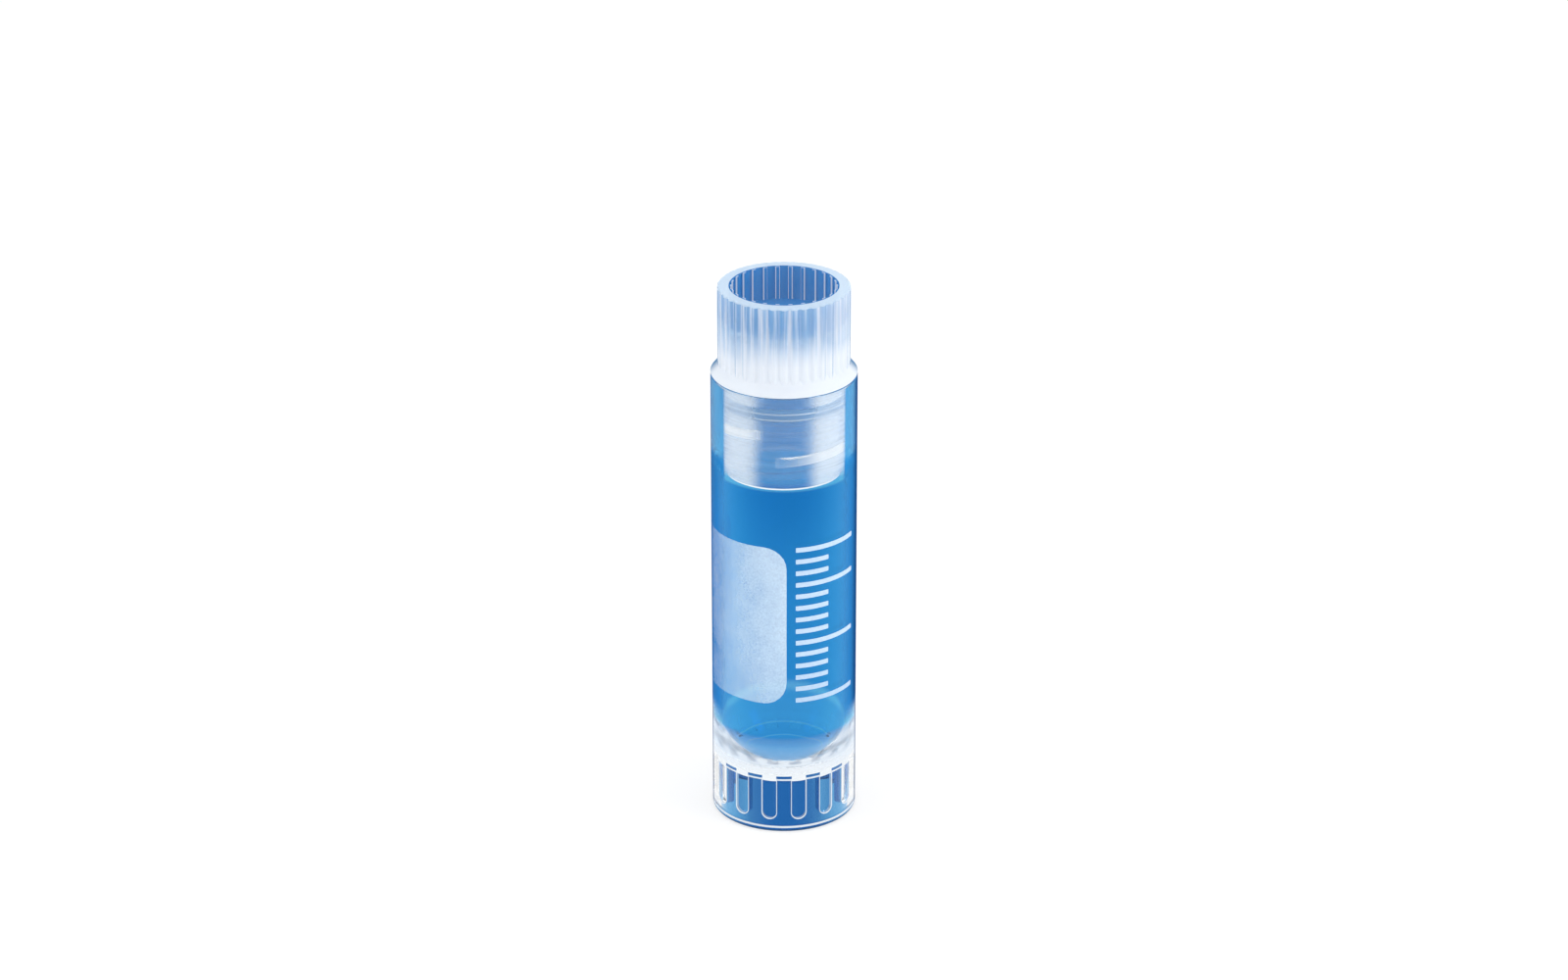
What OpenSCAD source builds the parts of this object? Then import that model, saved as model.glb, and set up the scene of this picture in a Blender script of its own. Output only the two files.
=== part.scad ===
// Self-standing cryogenic storage vial, 2 ml, with an internally threaded cap.
// Three pieces: a ribbed-foot tube, a screw cap with a hollow plug, and a silicone seal ring.
// Origin on the vial's axis, on the surface that it stands on. Millimetres, +Z up.

/* [Tube] */
// Outer diameter of the tube and of the cap's collar
tube_od = 12.5; // [11:0.1:16]
// Height of the tube's rim above its foot
tube_h = 40.7; // [34:0.1:60]
// Bore of the graduated part
bore_d = 10.68; // [9.2:0.02:11]
// Height of the lowest point inside the tube
bowl_z = 3.36; // [3:0.02:6]
// Thickness of the web at its centre, between the bowl and the hollow foot
web_t = 0.8; // [0.6:0.05:1.5]
// Bore at the mouth, where the thread stands
mouth_d = 10.96; // [10:0.02:12]

/* [Foot] */
// Wall of the skirt that the tube stands on
skirt_wall = 0.7; // [0.5:0.05:1]
// Height of the circle where the web meets the skirt's inner wall
skirt_h = 5.3; // [4.2:0.1:7]
// Number of locking ribs inside the skirt
foot_ribs = 14; // [6:1:18]
// Width of a locking rib
foot_rib_w = 1.2; // [0.8:0.05:1.5]
// How far a locking rib stands out of the skirt's wall
foot_rib_d = 0.6; // [0.3:0.05:0.8]
// Gap from the standing surface to the rounded end of a rib
foot_rib_z = 1.05; // [0.5:0.05:2]
// Radius of the foot's outer edge
foot_r = 0.3; // [0.1:0.05:0.35]

/* [Thread] */
// Rise of the thread in one turn
lead = 2.5; // [2:0.1:4]
// Depth of each thread, the tube's and the plug's
thread_d = 0.35; // [0.2:0.01:0.45]
// Width of a thread ridge at its root
thread_w = 1; // [0.8:0.05:1.1]
// Width of a thread ridge at its crest
thread_c = 0.4; // [0.2:0.05:0.6]
// Turns of the tube's thread
tube_turns = 0.99; // [0.8:0.01:1.2]
// Turns of the plug's thread
plug_turns = 0.97; // [0.8:0.01:1.2]
// Height of the lower end of the tube's thread, below the rim
thread_drop = 6.05; // [5.6:0.05:7]

/* [Cap] */
// Height of the cap above the tube's rim
cap_h = 7.85; // [6:0.05:12]
// Diameter over the flutes of the grip
grip_d = 11.28; // [10.6:0.02:11.6]
// Number of flutes round the grip
flutes = 40; // [24:2:48]
// Depth of a flute
flute_d = 0.15; // [0.05:0.01:0.25]
// Depth of the recess in the top of the cap
recess_depth = 2.95; // [1:0.05:4]
// Diameter of the recess
recess_d = 9.3; // [8.4:0.05:9.6]
// Number of ribs round the recess
recess_ribs = 26; // [12:1:30]
// How far a rib stands into the recess
recess_rib_d = 0.27; // [0.1:0.01:0.4]
// Thickness of the web under the recess
cap_web = 1.2; // [0.8:0.05:2]
// Length of the plug below the tube's rim
plug_len = 8.7; // [8:0.05:10]
// Wall of the hollow plug
plug_wall = 1.15; // [1:0.05:1.6]

/* [Seal] */
// Thickness of the seal ring's round cord
seal_cord = 1.1; // [0.9:0.05:1.2]
// Height of the ring's middle, below the rim
seal_drop = 1.88; // [1.6:0.02:2.2]

/* [Clearances] */
// Radial clearance of a thread's crest
thread_gap = 0.08; // [0.05:0.01:0.15]
// Gap between the flanks that bear on each other when the cap is tight
flank_gap = 0.05; // [0.03:0.01:0.1]
// Clearance of the seal ring in its groove and in the bore
seal_gap = 0.025; // [0.02:0.005:0.05]
// Gap between the cap's collar and the tube's rim
collar_gap = 0.05; // [0.03:0.01:0.1]

/* [Hidden] */
$fn = 96;

tube_r = tube_od / 2;
bore_r = bore_d / 2;
mouth_r = mouth_d / 2;
bowl_centre = bowl_z + bore_r;
skirt_r = tube_r - skirt_wall;

// The dished underside of the web is part of a sphere through the tip and the skirt's wall
dish_tip = bowl_z - web_t;
dish_sag = skirt_h - dish_tip;
dish_r = (skirt_r * skirt_r + dish_sag * dish_sag) / (2 * dish_sag);
foot_bevel = 0.2;
foot_rib_top = skirt_h + 0.7;

// The plug clears the crest of the tube's thread
plug_r = mouth_r - thread_d - thread_gap;
plug_z = tube_h - plug_len;
plug_chamfer = 0.12;
plug_tip = 0.36;
mouth_cone = 0.5;
mouth_drop = 0.2;
mouth_z = plug_z - mouth_drop;
mouth_bevel = 0.2;
rim_r = 0.12;

// Hollow of the plug, open at the bottom
hollow_r = plug_r - plug_wall;
hollow_bevel = 0.2;
hollow_chamfer = 0.4;

// Threads: the tube's starts on the front, and the plug's bears up against it from below
thread_z = tube_h - thread_drop;
thread_lead_in = 12;
thread_start = -90 - thread_lead_in;
thread_step = 3;
thread_sink = 0.15;
fade = 14;
fade_sink = 0.06;
flank_slope = (thread_w - thread_c) / 2 / thread_d;
flank_meet = thread_c + flank_slope * (thread_d - thread_gap);
thread_offset = flank_meet + flank_gap;
plug_thread_z = plug_z + plug_tip + thread_w / 2 + flank_slope * thread_sink;
plug_thread_start = thread_start + (plug_thread_z - (thread_z - thread_offset)) / lead * 360;

// Cap
cap_bottom = tube_h + collar_gap;
cap_top = tube_h + cap_h;
grip_r = grip_d / 2;
valley_r = grip_r - flute_d;
ridge_share = 0.28;
valley_share = 0.2;
collar_lip = 0.12;
collar_z = cap_bottom + collar_lip;
flare_h = 1.28;
flare_steps = 8;
flare_power = 1.5;
neck_z = collar_z + flare_h;
top_r = 0.1;

// Recess in the top, and the web under it
recess_z = cap_top - recess_depth;
recess_r = recess_d / 2;
recess_rib_foot = 0.48;
recess_rib_crest = 0.24;
hollow_top = recess_z - cap_web;

// Seal ring: a round cord, flattened where it bears on the groove and on the bore
seal_z = tube_h - seal_drop;
seal_squeeze = 0.87;
seal_out = mouth_r - seal_gap;
seal_in = seal_out - seal_cord * seal_squeeze;
groove_r = seal_in - seal_gap;
groove_h = seal_cord + 2 * seal_gap;

// An arc's points, from angle a0 to a1 about (x, y)
function arc(x, y, r, a0, a1, n) =
    [for (i = [0:n]) let (a = a0 + (a1 - a0) * i / n) [x + r * cos(a), y + r * sin(a)]];

// How much of its full height a thread ridge has, t turned degrees from its start
function ridge(t, length) = min(1, max(0, min(t, length - t) / fade));

// A helical ridge. root is its base radius and way is +1 for outwards, -1 for inwards
module thread_ridge(root, way, start, z0, turns) {
    steps = ceil(turns * 360 / thread_step);
    length = turns * 360;
    buried = root - way * thread_sink;
    half_buried = thread_w / 2 + flank_slope * thread_sink;
    rings = [for (i = [0:steps])
        let (t = length * i / steps, a = start + t, z = z0 + lead * t / 360, k = ridge(t, length),
             h = thread_d * k - fade_sink * (1 - k), crest = root + way * h,
             half = thread_w / 2 - flank_slope * h)
        [for (p = [[buried, -half_buried], [crest, -half], [crest, half], [buried, half_buried]])
            [p[0] * cos(a), p[0] * sin(a), z + p[1]]]];
    points = [for (r = rings) for (p = r) p];
    sides = [for (i = [0:steps - 1]) for (j = [0:3])
        let (a = 4 * i + j, b = 4 * i + (j + 1) % 4)
        way > 0 ? [a, b, b + 4, a + 4] : [a, a + 4, b + 4, b]];
    last = 4 * steps;
    ends = way > 0 ? [[3, 2, 1, 0], [last, last + 1, last + 2, last + 3]]
        : [[0, 1, 2, 3], [last + 3, last + 2, last + 1, last]];
    polyhedron(points, concat(sides, ends), convexity = 10);
}

// Outside of the tube: a plain cylinder with a rounded foot and rim
module tube_outside() {
    rotate_extrude() polygon(concat(
        [[0, 0]],
        arc(tube_r - foot_r, foot_r, foot_r, -90, 0, 4),
        arc(tube_r - rim_r, tube_h - rim_r, rim_r, 0, 90, 3),
        [[0, tube_h]]));
}

// Inside of the tube: a round bowl, the graduated bore, and the wider mouth with its bevel
module tube_inside() {
    translate([0, 0, bowl_centre]) sphere(r = bore_r);
    rotate_extrude() polygon([[0, bowl_centre], [bore_r, bowl_centre], [bore_r, mouth_z - mouth_cone],
                              [mouth_r, mouth_z], [mouth_r, tube_h - mouth_bevel],
                              [mouth_r + mouth_bevel, tube_h], [mouth_r + mouth_bevel, tube_h + 1],
                              [0, tube_h + 1]]);
}

// Hollow of the foot, up to the dished underside of the web
module foot_hollow() {
    difference() {
        rotate_extrude() polygon([[0, -1], [skirt_r + foot_bevel, -1], [skirt_r + foot_bevel, 0],
                                  [skirt_r, 2 * foot_bevel], [skirt_r, skirt_h], [0, skirt_h]]);
        translate([0, 0, dish_tip + dish_r]) sphere(r = dish_r, $fn = 180);
    }
}

// One locking rib: a bar with a rounded lower end, sunk into the skirt and the web
module foot_rib() {
    foot = foot_rib_z + foot_rib_w / 2;
    rotate([90, 0, 0]) translate([0, 0, skirt_r - foot_rib_d])
        linear_extrude(foot_rib_d + skirt_wall / 2) union() {
            translate([0, foot]) circle(d = foot_rib_w);
            translate([-foot_rib_w / 2, foot]) square([foot_rib_w, foot_rib_top - foot]);
        }
}

module tube() {
    color([0.30, 0.60, 0.85, 0.5]) union() {
        difference() {
            tube_outside();
            tube_inside();
            foot_hollow();
        }
        for (i = [0:foot_ribs - 1]) rotate([0, 0, (i + 0.5) * 360 / foot_ribs]) foot_rib();
        thread_ridge(mouth_r, -1, thread_start, thread_z, tube_turns);
    }
}

// Points on circles round the axis, at shares of a pitch, repeated count times
function gear_points(count, shares) =
    [for (i = [0:count - 1]) for (p = shares)
        let (a = (i + p[0]) * 360 / count) [p[1] * cos(a), p[1] * sin(a)]];

// Outline of the grip: one ridge and one valley for each flute
module fluted_outline() {
    polygon(gear_points(flutes, [
        [-ridge_share / 2, grip_r], [ridge_share / 2, grip_r],
        [(1 - valley_share) / 2, valley_r], [(1 + valley_share) / 2, valley_r]]));
}

// Outline of the recess: a rib every pitch, with a narrow flat crest
module recess_outline() {
    crest = recess_r - recess_rib_d;
    polygon(gear_points(recess_ribs, [
        [-recess_rib_foot / 2, recess_r], [-recess_rib_crest / 2, crest],
        [recess_rib_crest / 2, crest], [recess_rib_foot / 2, recess_r], [0.5, recess_r]]));
}

// The plug with the groove for the seal ring, the collar, and its flare up to the grip
module plug_and_collar() {
    rotate_extrude() polygon(concat(
        [[0, plug_z], [plug_r - plug_chamfer, plug_z], [plug_r, plug_z + plug_chamfer * 2],
         [plug_r, seal_z - groove_h / 2], [groove_r, seal_z - groove_h / 2],
         [groove_r, seal_z + groove_h / 2], [plug_r, seal_z + groove_h / 2],
         [plug_r, cap_bottom]],
        arc(tube_r - collar_lip, collar_z, collar_lip, -90, 0, 3),
        [for (i = [1:flare_steps]) let (t = 1 - i / flare_steps)
            [valley_r + (tube_r - valley_r) * pow(t, flare_power), neck_z - flare_h * t]],
        [[0, neck_z]]));
}

// The fluted grip, with its top edge broken
module grip() {
    intersection() {
        translate([0, 0, collar_z]) linear_extrude(cap_top - collar_z) fluted_outline();
        rotate_extrude() polygon([[0, collar_z], [grip_r + 1, collar_z], [grip_r + 1, cap_top - top_r - 1],
                                  [grip_r - top_r, cap_top], [0, cap_top]]);
    }
}

// Hollow of the plug, with a bevelled mouth and a chamfer round its top
module plug_hollow() {
    rotate_extrude() polygon([[0, plug_z - 1], [hollow_r + hollow_bevel, plug_z - 1],
                              [hollow_r + hollow_bevel, plug_z], [hollow_r, plug_z + hollow_bevel],
                              [hollow_r, hollow_top - hollow_chamfer],
                              [hollow_r - hollow_chamfer, hollow_top], [0, hollow_top]]);
}

module cap() {
    color([0.88, 0.93, 0.98, 0.8]) difference() {
        union() {
            plug_and_collar();
            grip();
            thread_ridge(plug_r, 1, plug_thread_start, plug_thread_z, plug_turns);
        }
        plug_hollow();
        translate([0, 0, recess_z]) linear_extrude(recess_depth + 1) recess_outline();
    }
}

module seal_ring() {
    color([0.80, 0.88, 0.95, 0.7]) rotate_extrude() intersection() {
        translate([(seal_in + seal_out) / 2, seal_z]) circle(d = seal_cord, $fn = 64);
        translate([seal_in, seal_z - seal_cord]) square([seal_out - seal_in, 2 * seal_cord]);
    }
}

tube();
cap();
seal_ring();
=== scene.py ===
import math

import bmesh
import bpy
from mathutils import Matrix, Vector


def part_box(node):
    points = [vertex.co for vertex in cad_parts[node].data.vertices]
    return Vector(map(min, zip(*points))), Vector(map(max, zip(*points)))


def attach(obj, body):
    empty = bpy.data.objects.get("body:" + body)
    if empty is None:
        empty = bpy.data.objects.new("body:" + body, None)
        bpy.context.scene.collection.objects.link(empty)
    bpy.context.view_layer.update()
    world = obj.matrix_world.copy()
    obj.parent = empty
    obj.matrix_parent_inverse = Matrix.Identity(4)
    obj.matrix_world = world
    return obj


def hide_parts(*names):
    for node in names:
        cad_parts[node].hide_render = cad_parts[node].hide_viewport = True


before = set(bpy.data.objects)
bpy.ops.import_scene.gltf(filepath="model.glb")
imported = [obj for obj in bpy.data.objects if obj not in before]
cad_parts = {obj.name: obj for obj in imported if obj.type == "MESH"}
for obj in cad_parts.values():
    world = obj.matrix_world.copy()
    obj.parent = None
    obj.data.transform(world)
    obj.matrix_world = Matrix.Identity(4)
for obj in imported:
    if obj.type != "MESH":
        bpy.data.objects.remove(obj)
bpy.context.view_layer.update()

# ---- Camera ----
# A long lens from the front, 24 degrees above the bench. It is turned to a point a little above the
# vial's middle.
scene = bpy.context.scene
scene.view_settings.view_transform = "Standard"
vial_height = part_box("cap")[1].z

camera = bpy.data.objects.new("camera", bpy.data.cameras.new("camera"))
scene.collection.objects.link(camera)
scene.camera = camera
camera.data.sensor_width = 36
camera.data.lens = 107.6
camera.data.clip_start = 0.01
camera_distance = 0.4014
camera_elevation = math.radians(23.67)
aim_share = 0.613
camera_aim = Vector((0, 0, aim_share * vial_height))
camera_back = Vector((0, -math.cos(camera_elevation), math.sin(camera_elevation)))
camera.location = camera_aim + camera_distance * camera_back
camera.rotation_euler = (math.pi / 2 - camera_elevation, 0, 0)


# ---- Light ----
# A white surround that clear plastic shows as it is and that lights the rest gently, and two tall
# soft lamps at the sides, whose reflections run down the plastic.
class Link:
    """One output of a shader node: sums on it add Math nodes, and node() adds any other kind."""

    def __init__(self, tree, socket=None):
        self.tree = tree
        self.socket = socket

    def node(self, kind, settings, inputs, output=0):
        made = self.tree.nodes.new(kind)
        for name, value in settings.items():
            setattr(made, name, value)
        for name, value in inputs.items():
            if isinstance(value, Link):
                self.tree.links.new(value.socket, made.inputs[name])
            else:
                made.inputs[name].default_value = value
        return Link(self.tree, made.outputs[output] if made.outputs else None)

    def math(self, operation, *values):
        return self.node("ShaderNodeMath", {"operation": operation}, dict(enumerate(values)))

    def __add__(self, other):
        return self.math("ADD", self, other)

    def __sub__(self, other):
        return self.math("SUBTRACT", self, other)

    def __rsub__(self, other):
        return self.math("SUBTRACT", other, self)

    def __mul__(self, other):
        return self.math("MULTIPLY", self, other)

    __radd__ = __add__
    __rmul__ = __mul__


def plain_tree(holder):
    holder.use_nodes = True
    holder.node_tree.nodes.clear()
    return Link(holder.node_tree)


def straight_look(start, from_camera=1.0):
    """1 for rays that see a surface in a gloss or through clear plastic, and 0 for light."""
    camera_ray, glossy, clear_ray = [start.node("ShaderNodeLightPath", {}, {}, name) for name in
                                     ("Is Camera Ray", "Is Glossy Ray", "Is Transmission Ray")]
    return start.math("MAXIMUM", from_camera * camera_ray, start.math("MAXIMUM", glossy, clear_ray))


surround_light = 0.95
world = bpy.data.worlds.new("white_surround")
scene.world = world
start = plain_tree(world)
strength = surround_light + (1 - surround_light) * straight_look(start)
surround = start.node("ShaderNodeBackground", {}, {"Color": (1, 1, 1, 1), "Strength": strength})
start.node("ShaderNodeOutputWorld", {}, {"Surface": surround})


def soft_lamp(name, place, size, power):
    lamp = bpy.data.objects.new(name, bpy.data.lights.new(name, "AREA"))
    scene.collection.objects.link(lamp)
    lamp.data.shape = "RECTANGLE"
    lamp.data.size, lamp.data.size_y = size
    lamp.data.energy = power
    lamp.location = place
    lamp.rotation_euler = (camera_aim - Vector(place)).to_track_quat("-Z", "Y").to_euler()


soft_lamp("left_lamp", (-0.30, -0.12, 0.16), (0.10, 0.30), 0.25)
soft_lamp("right_lamp", (0.30, -0.12, 0.16), (0.10, 0.30), 0.50)
soft_lamp("top_lamp", (0, 0, 0.40), (0.30, 0.30), 0.4)

# ---- Floor ----
# A plain white floor under the vial. A part of its white is its own glow, so that it is as pale as
# the surround, and the rest takes the lamps' light and keeps the vial's shadow.
floor_half = 1.5
floor_glow = 0.6
floor = bpy.data.objects.new("floor", bpy.data.meshes.new("floor"))
scene.collection.objects.link(floor)
mesh = bmesh.new()
bmesh.ops.create_grid(mesh, x_segments=1, y_segments=1, size=floor_half)
mesh.to_mesh(floor.data)
mesh.free()

floor_paint = bpy.data.materials.new("floor_paint")
start = plain_tree(floor_paint)
matt = start.node("ShaderNodeBsdfDiffuse", {}, {"Color": (0.9, 0.9, 0.9, 1)})
glow = start.node("ShaderNodeEmission", {}, {"Color": (1, 1, 1, 1), "Strength": 1.0})
glow_share = straight_look(start, floor_glow)
shown = start.node("ShaderNodeMixShader", {}, {0: glow_share, 1: matt, 2: glow})
start.node("ShaderNodeOutputMaterial", {}, {"Surface": shown})
floor.data.materials.append(floor_paint)


# ---- Tube ----
# One injection moulding in clear blue polypropylene: a round-bottomed bore, a web frosted on its
# underside, and a skirt with locking ribs. The tint is set per surface, so that light which crosses
# the bore is blue and light which only turns round in the web or the foot stays white.
MM = 0.001
merge_gap = 0.002 * MM
smooth_corner = math.radians(25)
smooth_thread_corner = math.radians(9)


def moulding(node, name, thread_heights=(0, 0)):
    """The CAD node as one smooth skin, with crisp roots to the thread between thread_heights."""
    piece = bpy.data.objects.new(name, bpy.data.meshes.new(name))
    scene.collection.objects.link(piece)
    skin = bmesh.new()
    skin.from_mesh(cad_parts[node].data)
    bmesh.ops.remove_doubles(skin, verts=skin.verts, dist=merge_gap)
    for face in skin.faces:
        face.smooth = True
    for edge in skin.edges:
        in_thread = all(thread_heights[0] < end.co.z < thread_heights[1] for end in edge.verts)
        corner = smooth_thread_corner if in_thread else smooth_corner
        edge.smooth = edge.calc_face_angle(0) < corner
    skin.to_mesh(piece.data)
    skin.free()
    even = piece.modifiers.new("even_shading", "WEIGHTED_NORMAL")
    even.mode = "FACE_AREA"
    even.weight = 100
    even.keep_sharp = True
    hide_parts(node)
    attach(piece, node)
    return piece


def new_material(piece, name):
    material = bpy.data.materials.new(name)
    piece.data.materials.append(material)
    return plain_tree(material)


def finish_material(start, surface):
    start.node("ShaderNodeOutputMaterial", {}, {"Surface": surface})


def distance(first, second):
    return first.math("SQRT", first * first + second * second)


def position(start):
    """The place in millimetres, its height, its reach from the axis and its turn from the front."""
    place = start.node("ShaderNodeTexCoord", {}, {}, "Object")
    place = start.node("ShaderNodeVectorMath", {"operation": "SCALE"}, {0: place, "Scale": 1 / MM})
    across, depth, height = [start.node("ShaderNodeSeparateXYZ", {}, {0: place}, axis)
                             for axis in "XYZ"]
    turn = start.math("ARCTAN2", across, depth * -1)
    return place, height, distance(across, depth), turn


def rise(value, low, high):
    """0 below low and 1 above high, with a smooth step between. With high under low it falls."""
    return value.node("ShaderNodeMapRange", {"interpolation_type": "SMOOTHSTEP"},
                      {"Value": value, "From Min": low, "From Max": high})


def between(value, low, high, edge):
    return rise(value, low - edge, low) * rise(value, high + edge, high)


def mix(share, first, second):
    colours = {6: first, 7: second}
    colours = {k: c if isinstance(c, Link) else (*c, 1) for k, c in colours.items()}
    return share.node("ShaderNodeMix", {"data_type": "RGBA"}, {0: share, **colours}, 2)


def blend(share, first, second):
    return first.node("ShaderNodeMixShader", {}, {0: share, 1: first, 2: second})


def clear_plastic(start, colour, roughness, shade=(1, 1, 1), shaded=1.0):
    """Clear plastic. Where shaded is 1, the lamps shine through it in the colour shade."""
    plastic = start.node("ShaderNodeBsdfPrincipled", {}, {
        "Base Color": colour, "Roughness": roughness, "IOR": 1.49, "Transmission Weight": 1.0,
        "Specular Tint": (0.1, 0.4, 0.9, 1)})
    unshaded = start.node("ShaderNodeBsdfTransparent", {}, {"Color": (1, 1, 1, 1)})
    passing = start.node("ShaderNodeBsdfTransparent", {}, {"Color": (*shade, 1)})
    passing = blend(shaded, unshaded, passing)
    lamp_ray = start.node("ShaderNodeLightPath", {}, {}, "Is Shadow Ray")
    return blend(lamp_ray, plastic, passing)


def frosted(start, colour):
    """Frosted or milky plastic: half of the light on it comes back and half goes through."""
    front = start.node("ShaderNodeBsdfDiffuse", {}, {"Color": (*colour, 1)})
    through = start.node("ShaderNodeBsdfTranslucent", {}, {"Color": (*colour, 1)})
    return blend(0.5, front, through)


# A painted glow: the plastic gives off light of its own, though it is no lamp.
def painted_glow(start):
    return start.node("ShaderNodeEmission", {}, {"Color": (*painted_glow_white, 1), "Strength": 1.0})


def frost_with_painted_glow(start, colour, glow_share):
    """Frosted plastic with a share of painted glow, which stands in for light gathered in the wall.
    """
    return blend(glow_share, frosted(start, colour), painted_glow(start))


def turned_away(start, low, high):
    """1 where a surface turns away from the eye, as the edges of clear plastic do."""
    return rise(start.node("ShaderNodeLayerWeight", {}, {"Blend": 0.5}, "Facing"), low, high)


def noise(start, place, detail, scale=1.0, stretch=None):
    """Soft random patches, about 1 / scale mm wide, or streaks where a stretch is given."""
    if stretch:
        place = start.node("ShaderNodeMapping", {}, {0: place, "Scale": stretch})
    sockets = {"Vector": place, "Scale": scale, "Detail": detail}
    return start.node("ShaderNodeTexNoise", {}, sockets, 0)


def painted_sheen_lobes(start, turn):
    """1 in four upright lobes of painted sheen, halfway between the front, the sides and the back,
    and 0 between.
    """
    aside = start.math("ABSOLUTE", start.math("SINE", turn))
    return rise(aside, 0.34, 0.60) * rise(aside, 1.0, 0.84)


# Colours of the clear plastic, of its frosted and shaded places, and of its painted glow and
# painted shade.
deep_blue = (0.004, 0.145, 0.47)
light_blue = (0.018, 0.22, 0.57)
side_blue = (0.016, 0.31, 0.70)
bowl_blue = (0.055, 0.33, 0.68)
mouth_blue = (0.86, 0.93, 1.0)
foot_blue = (0.0001, 0.011, 0.135)
foot_side_blue = (0.009, 0.15, 0.52)
clear = (0.97, 0.99, 1.0)
lamp_shade = (0.35, 0.6, 0.85)
white = (0.96, 0.98, 1.0)
frost_white = (1, 1, 1)
painted_glow_white = (0.95, 0.98, 1.0)
web_haze_blue = (0.66, 0.79, 0.96)
rim_shade_blue = (0.03, 0.10, 0.24)
frosted_side_blue = (0.018, 0.25, 0.62)
beside_thread_blue = (0.14, 0.40, 0.72)
edge_shade_navy = (0.01, 0.09, 0.26)

# Sizes in millimetres, the frosted share of frosted places, painted highlights and painted shade,
# and how much of the frost is painted glow.
blue_from, clear_from = 9.2, 8.0
bowl_middle = 8.70
dish_radius, dish_middle = 6.99, 9.549
skirt_radius = 5.55
rib_count = 14
rib_low = 1.65
frost = 0.9
flank_highlight_share = 0.28
ring_frost = 0.35
edge_shade = 0.7
beside_thread_frost = 0.4
frost_painted_glow = 0.5
web_painted_glow = 0.4
dish_painted_glow = 0.7
mouth_painted_glow = 0.25

thread_heights = (32.5 * MM, 38.2 * MM)
tube = moulding("tube", "tube_moulding", thread_heights)
start = new_material(tube, "clear_blue_polypropylene")
place, height, reach, turn = position(start)

# The tint of the outer wall, and of the surfaces inside it.
wall = rise(reach, 5.75, 5.85)
in_front = turned_away(start, 0.50, 0.44)
outer = mix(rise(height, 20, 31), light_blue, deep_blue)
outer = mix(turned_away(start, 0.04, 0.40), outer, side_blue)
outer = mix(rise(height, 32.2, 32.5) * in_front, outer, mouth_blue)
outer = mix(rise(height, blue_from, clear_from), outer, clear)
skirt = rise(reach, 5.50, 5.52) * rise(height, 5.30, 5.20)
rib_face = between(reach, 4.8, 5.0, 0.02) * rise(height, 4.75, 4.65)
off_wall = rise(reach, 5.45, 5.40)
bowl = rise(height, blue_from, clear_from) * off_wall
from_dish = distance(reach, height - dish_middle)
dish = between(from_dish, dish_radius - 0.04, dish_radius + 0.04, 0.03) * rise(height, 5.6, 5.5)
foot_tint = mix(turned_away(start, 0.05, 0.26), foot_blue, foot_side_blue)
inner = mix(bowl, clear, bowl_blue)
inner = mix(start.math("MAXIMUM", skirt, rib_face), inner, foot_tint)
inner = mix(dish, inner, clear)
in_blue = rise(height, 8.0, 9.0) * rise(height, 34.0, 33.0)
surface = clear_plastic(start, mix(wall, inner, outer), 0.0, lamp_shade, in_blue)

# The frosted places of the foot: the web; the dish under it, which is painted glow that stands in
# for the light the web gathers; two rings on the bowl; and the ribs' flanks and outlines, which are
# painted white highlights. All of them have a share of painted glow.
white_with_painted_glow = frost_with_painted_glow(start, frost_white, frost_painted_glow)
web = rise(height, 5.5, 5.9) * rise(height, 9.4, 6.9)
web = web * start.math("MAXIMUM", wall, off_wall * (1 - dish))
web_haze = web * (0.12 + 0.18 * turned_away(start, 0.14, 0.40))
surface = blend(web_haze, surface, frost_with_painted_glow(start, web_haze_blue, web_painted_glow))
from_bowl = distance(reach, height - bowl_middle)
rings = between(reach, 3.55, 3.60, 0.05) + between(reach, 4.35, 4.40, 0.05)
rings = rings * between(from_bowl, 5.30, 5.38, 0.03) * rise(height, 8.7, 8.6)
surface = blend(rings * ring_frost, surface, white_with_painted_glow)
surface = blend(dish, surface, blend(dish_painted_glow, white_with_painted_glow, painted_glow(start)))
below_web = rise(height, 5.0, 4.9)
# The ribs' flanks and outlines are frosted white as painted highlights.
flank_highlight = between(reach, 5.01, 5.51, 0.02) * below_web * (1 - dish)
surface = blend(flank_highlight * flank_highlight_share, surface, white_with_painted_glow)
rib_pitch = 2 * math.pi * skirt_radius / rib_count
pitches = turn * (rib_count / (2 * math.pi))
across_rib = (start.math("FRACT", pitches) - 0.5) * rib_pitch
below_rib = start.math("MINIMUM", height - rib_low, 0)
from_rib = distance(across_rib, below_rib)
fillet_highlight = between(from_rib, 0.60, 0.65, 0.03) * below_web
fillet_highlight = fillet_highlight * rise(reach, 5.38, 5.42) * rise(reach, 5.62, 5.60)
arch_highlight = between(height, 4.80, 4.92, 0.04) * between(reach, 5.5, 5.6, 0.03)
surface = blend(start.math("MAXIMUM", fillet_highlight, arch_highlight) * frost, surface, white_with_painted_glow)

# The mouth: a streaked haze, paler in upright lobes of painted sheen, and the thread, frosted white
# as a painted highlight, which fades at its ends.
streaks = noise(start, place, 2.0, stretch=(0.07, 0.07, 4.0))
mouth = between(reach, 5.3, 5.6, 0.02) * rise(height, 32.4, 33.4)
haze_and_sheen = (0.12 + 0.53 * painted_sheen_lobes(start, turn)) * (0.3 + 1.4 * streaks)
surface = blend(mouth * haze_and_sheen, surface, frost_with_painted_glow(start, mouth_blue, mouth_painted_glow))
thread_highlight = between(reach, 5.10, 5.40, 0.01) * rise(height, 33, 33.1)
thread_end = start.math("MAXIMUM", rise(turn, -0.22, -0.75), rise(turn, -0.1, 0.7))
surface = blend(thread_highlight * (0.15 + 0.75 * thread_end), surface, white_with_painted_glow)
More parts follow.
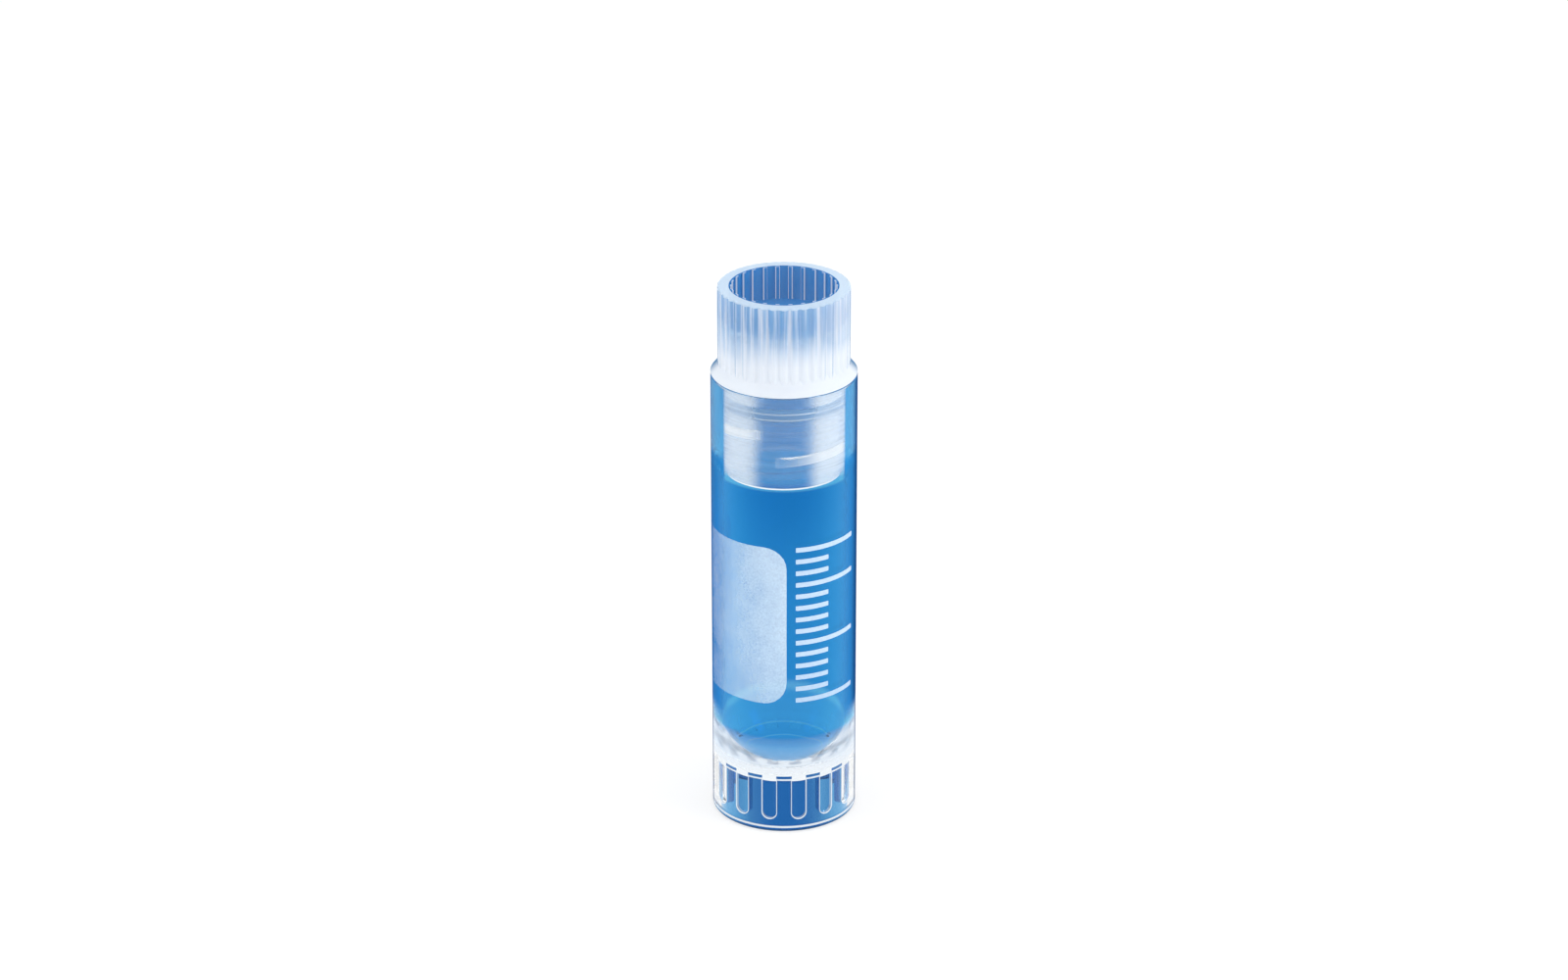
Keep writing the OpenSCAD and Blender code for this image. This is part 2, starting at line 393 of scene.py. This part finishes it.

# The rim's two lines, a painted white highlight above and a painted dark shade below, and the sides
# of the wall, where the plastic is seen through its whole depth.
rim_top_highlight = between(height, 0.42, 0.58, 0.04) * wall
surface = blend(rim_top_highlight * frost, surface, white_with_painted_glow)
rim_bottom_shade = between(height, 0.02, 0.24, 0.06) * wall
surface = blend(rim_bottom_shade * edge_shade, surface, frosted(start, rim_shade_blue))
above_web = wall * rise(height, 9.5, 11.0)
beside_plug = rise(height, 31.8, 33.2) * turned_away(start, 0.45, 0.51)
blue_side = start.math("MAXIMUM", turned_away(start, 0.40, 0.66), beside_plug)
blue_side = above_web * blue_side * (0.9 - 0.5 * rise(height, 33.8, 34.6))
surface = blend(blue_side, surface, frosted(start, frosted_side_blue))
beside_thread = wall * rise(height, 33.5, 36.5) * turned_away(start, 0.40, 0.56)
surface = blend(beside_thread * beside_thread_frost, surface, frosted(start, beside_thread_blue))
# Painted navy shade along the wall's edges, where the wall turns away from the eye; above the web
# it is heavier towards the right.
upper_edge_shade = above_web * turned_away(start, 0.62, 0.84) * (0.6 + 0.4 * start.math("SINE", turn))
foot_edge_shade = wall * turned_away(start, 0.80, 0.92) * edge_shade
surface = blend(start.math("MAXIMUM", upper_edge_shade, foot_edge_shade), surface, frosted(start, edge_shade_navy))
finish_material(start, surface)

# ---- Cap ----
# One injection moulding in milky polypropylene: a fluted grip, a ribbed recess in the top, a flared
# collar, and the hollow threaded plug inside the tube's mouth.
# Colours and shares of the cap, among them the painted shade of the grip's sides and the shares of
# painted glow and painted highlight.
milk_blue = (0.36, 0.61, 0.86)
plug_blue = (0.13, 0.38, 0.74)
plug_clear = (0.85, 0.93, 1.0, 1)
plug_lamp_shade = (0.9, 0.95, 1.0)
rim_face_blue = (0.76, 0.87, 0.94)
recess_blue = (0.008, 0.22, 0.56)
grip_shade_blue = (0.08, 0.25, 0.45)
plug_roughness = 0.1
rib_side_highlight_share = 0.55
grip_painted_glow = 0.3
sheen_painted_glow = 0.35
flute_highlight_share = 0.8

cap = moulding("cap", "cap_moulding", thread_heights)
start = new_material(cap, "milky_polypropylene")
place, height, reach, turn = position(start)
white_with_painted_glow = frost_with_painted_glow(start, frost_white, frost_painted_glow)
to_right = start.math("SINE", turn)

recess = rise(height, 45.55, 45.59) * rise(reach, 4.68, 4.66)
rib_side_highlight = recess * between(reach, 4.40, 4.50, 0.02) * rise(height, 45.60, 45.64)
rim_face = rise(height, 48.40, 48.44)
plug = rise(height, 40.72, 40.70)
plug_end_glow = rise(height, 32.20, 32.14) * rise(reach, 4.4, 4.5)
grip = (1 - recess) * (1 - plug) * (1 - rim_face)

# The grip: milky, with upright streaks of painted highlight, and painted light that makes it palest
# at its foot, away from the front and towards the right, with painted shade on its upper left side.
# The pale part has a share of painted glow.
cloud = rise(start.math("COSINE", turn + 0.15), 1.0, 0.45) * (0.75 + 0.3 * to_right)
flute_highlight_streaks = rise(noise(start, place, 3.0, stretch=(3.0, 3.0, 0.10)), 0.42, 0.66)
painted_paleness = start.math("MAXIMUM", rise(height, 47.0, 43.0), cloud * 0.65)
left_grip_shade = rise(to_right, -0.35, -0.8) * rise(height, 42.5, 44.0)
painted_paleness = painted_paleness * (1 - 0.3 * left_grip_shade)
painted_paleness = painted_paleness + (1 - painted_paleness) * flute_highlight_streaks * flute_highlight_share
painted_pale_skin = blend(grip_painted_glow, frosted(start, white), white_with_painted_glow)
skin = blend(painted_paleness, frosted(start, milk_blue), painted_pale_skin)
surface = clear_plastic(start, plug_clear, plug_roughness, plug_lamp_shade)
surface = blend(grip * (0.70 + 0.22 * painted_paleness), surface, skin)

# The plug: milky, with painted sheen in upright lobes, a little stronger towards the right,
# streaked in rings, and a painted glowing line round its end.
ring_streaks = noise(start, place, 2.0, stretch=(0.08, 0.08, 3.0))
sheen_lobes = painted_sheen_lobes(start, turn)
milk_and_sheen = plug * (0.5 + (0.39 + 0.04 * to_right) * sheen_lobes) * (0.8 + 0.6 * (ring_streaks - 0.3))
sheen_white = frost_with_painted_glow(start, white, sheen_painted_glow)
surface = blend(milk_and_sheen, surface, blend(sheen_lobes, frosted(start, plug_blue), sheen_white))
surface = blend(plug_end_glow, surface, painted_glow(start))

# The rim, the recess with its ribs, whose sides carry a painted highlight, and the grip's sides,
# darkened by painted shade.
surface = blend(rim_face * frost, surface, frosted(start, rim_face_blue))
surface = blend(recess * frost, surface, frosted(start, recess_blue))
surface = blend(rib_side_highlight * rib_side_highlight_share, surface, white_with_painted_glow)
grip_edge_shade = grip * turned_away(start, 0.6, 0.95)
surface = blend(grip_edge_shade, surface, frosted(start, grip_shade_blue))
finish_material(start, surface)

# ---- Seal ring ----
# A moulded ring of translucent silicone. It sits in the plug's groove and is pressed against the
# tube's mouth, where the two edges of the pressed zone are painted as thin white highlights.
silicone_roughness = 0.3
silicone_milk = 0.5

seal = moulding("seal_ring", "seal_ring_moulding")
start = new_material(seal, "translucent_silicone")
place, height, reach, turn = position(start)
pressed = rise(reach, 5.40, 5.43)
lower_line = between(height, 38.5, 38.62, 0.04)
upper_line = between(height, 39.05, 39.17, 0.04)
highlight_lines = pressed * start.math("MAXIMUM", lower_line, upper_line)
surface = clear_plastic(start, (*clear, 1), silicone_roughness)
surface = blend(silicone_milk, surface, frosted(start, milk_blue))
surface = blend(highlight_lines * frost, surface, frosted(start, white))
finish_material(start, surface)

# ---- Print ----
# White screen print on the tube: a panel to write on and a scale of 14 marks. Both are thin films
# of ink, made as flat sheets and then wrapped round the outer wall.
panel_ink = (0.76, 0.88, 0.96)
mark_ink = (0.55, 0.69, 0.86)
film = 0.03 * MM
film_gap = 0.012 * MM
film_facet = math.radians(3)
film_smooth_corner = math.radians(40)
corner_segments = 6
print_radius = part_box("tube")[1].x + film_gap
panel_left = math.radians(-119)
panel_right = math.radians(2)
panel_bottom = 12.4 * MM
panel_top = 27.1 * MM
panel_corner = 2 * MM
mark_count = 14
long_every = 5
mark_step = 1.088 * MM
first_mark = 12.74 * MM
mark_line = 0.42 * MM
mark_corner = 0.06 * MM
mark_left = math.radians(9.2)
short_mark_right = math.radians(37)
long_mark_right = math.radians(66)


def film_sheet(left, right, bottom, top, corner):
    """A flat sheet as long as its arc, with round corners, ready to be wrapped round the tube."""
    sheet = bmesh.new()
    bmesh.ops.create_grid(sheet, x_segments=1, y_segments=1, size=0.5)
    size = Vector(((right - left) * print_radius, top - bottom, 1))
    bmesh.ops.scale(sheet, vec=size, verts=sheet.verts)
    middle = Vector(((right + left) / 2 * print_radius, (top + bottom) / 2, 0))
    bmesh.ops.translate(sheet, vec=middle, verts=sheet.verts)
    bmesh.ops.bevel(sheet, geom=sheet.verts, offset=corner, offset_type="OFFSET",
                    segments=corner_segments, affect="VERTICES", profile=0.5, material=-1)
    for i in range(math.ceil(left / film_facet), math.ceil(right / film_facet)):
        bmesh.ops.bisect_plane(sheet, geom=sheet.verts[:] + sheet.edges[:] + sheet.faces[:],
                               plane_co=(i * film_facet * print_radius, 0, 0), plane_no=(1, 0, 0))
    return sheet


def wrap(sheets, name):
    """The sheets bent round the tube and given the film's thickness, as one piece."""
    whole = bpy.data.meshes.new(name)
    joined = bmesh.new()
    for sheet in sheets:
        for point in sheet.verts:
            angle = point.co.x / print_radius
            point.co = (print_radius * math.sin(angle), -print_radius * math.cos(angle), point.co.y)
        bmesh.ops.recalc_face_normals(sheet, faces=sheet.faces)
        sheet.to_mesh(whole)
        sheet.free()
        joined.from_mesh(whole)
    for face in joined.faces:
        face.smooth = True
        outward = Vector((face.calc_center_median().x, face.calc_center_median().y, 0))
        if face.normal.dot(outward) < 0:
            face.normal_flip()
    bmesh.ops.solidify(joined, geom=joined.faces[:], thickness=-film)
    bmesh.ops.recalc_face_normals(joined, faces=joined.faces)
    joined.to_mesh(whole)
    joined.free()
    whole.set_sharp_from_angle(angle=film_smooth_corner)
    piece = bpy.data.objects.new(name, whole)
    scene.collection.objects.link(piece)
    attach(piece, "tube")
    return piece


def print_ink(start, cover, colour):
    """Matt ink in that colour, with open plastic between its specks as far as cover is under 1."""
    ink = start.node("ShaderNodeBsdfDiffuse", {}, {"Color": (*colour, 1)})
    open_film = start.node("ShaderNodeBsdfTransparent", {}, {"Color": (1, 1, 1, 1)})
    finish_material(start, blend(cover, open_film, ink))


sheet = film_sheet(panel_left, panel_right, panel_bottom, panel_top, panel_corner)
panel = wrap([sheet], "marking_panel")
start = new_material(panel, "panel_ink")
place, height, reach, turn = position(start)
speckle = noise(start, place, 3.0, scale=6.0)
cloud = noise(start, place, 2.0, scale=0.45)
# The ink thins towards the panel's left side as painted shade, and thins away where the tube turns
# from the eye, a painted shade at its edge.
cover = 0.08 + 0.36 * rise(turn, -1.5, 0.2) + 0.28 * (speckle - 0.5) + 0.20 * (cloud - 0.5)
cover = cover * (1 - 0.22 * rise(height, 19, 13)) * (1 - turned_away(start, 0.74, 0.86))
print_ink(start, cover, panel_ink)

marks = []
for i in range(mark_count):
    is_long = i % long_every == 0 or i == mark_count - 1
    right = long_mark_right if is_long else short_mark_right
    middle = first_mark + i * mark_step
    marks.append(film_sheet(mark_left, right, middle - mark_line / 2, middle + mark_line / 2,
                            mark_corner))
scale = wrap(marks, "graduation_marks")
start = new_material(scale, "scale_ink")
place, height, reach, turn = position(start)
speckle = noise(start, place, 2.0, scale=4.0)
cover = 0.82 + 0.2 * (speckle - 0.5) - 0.16 * rise(height, 17, 13)
print_ink(start, cover, mark_ink)
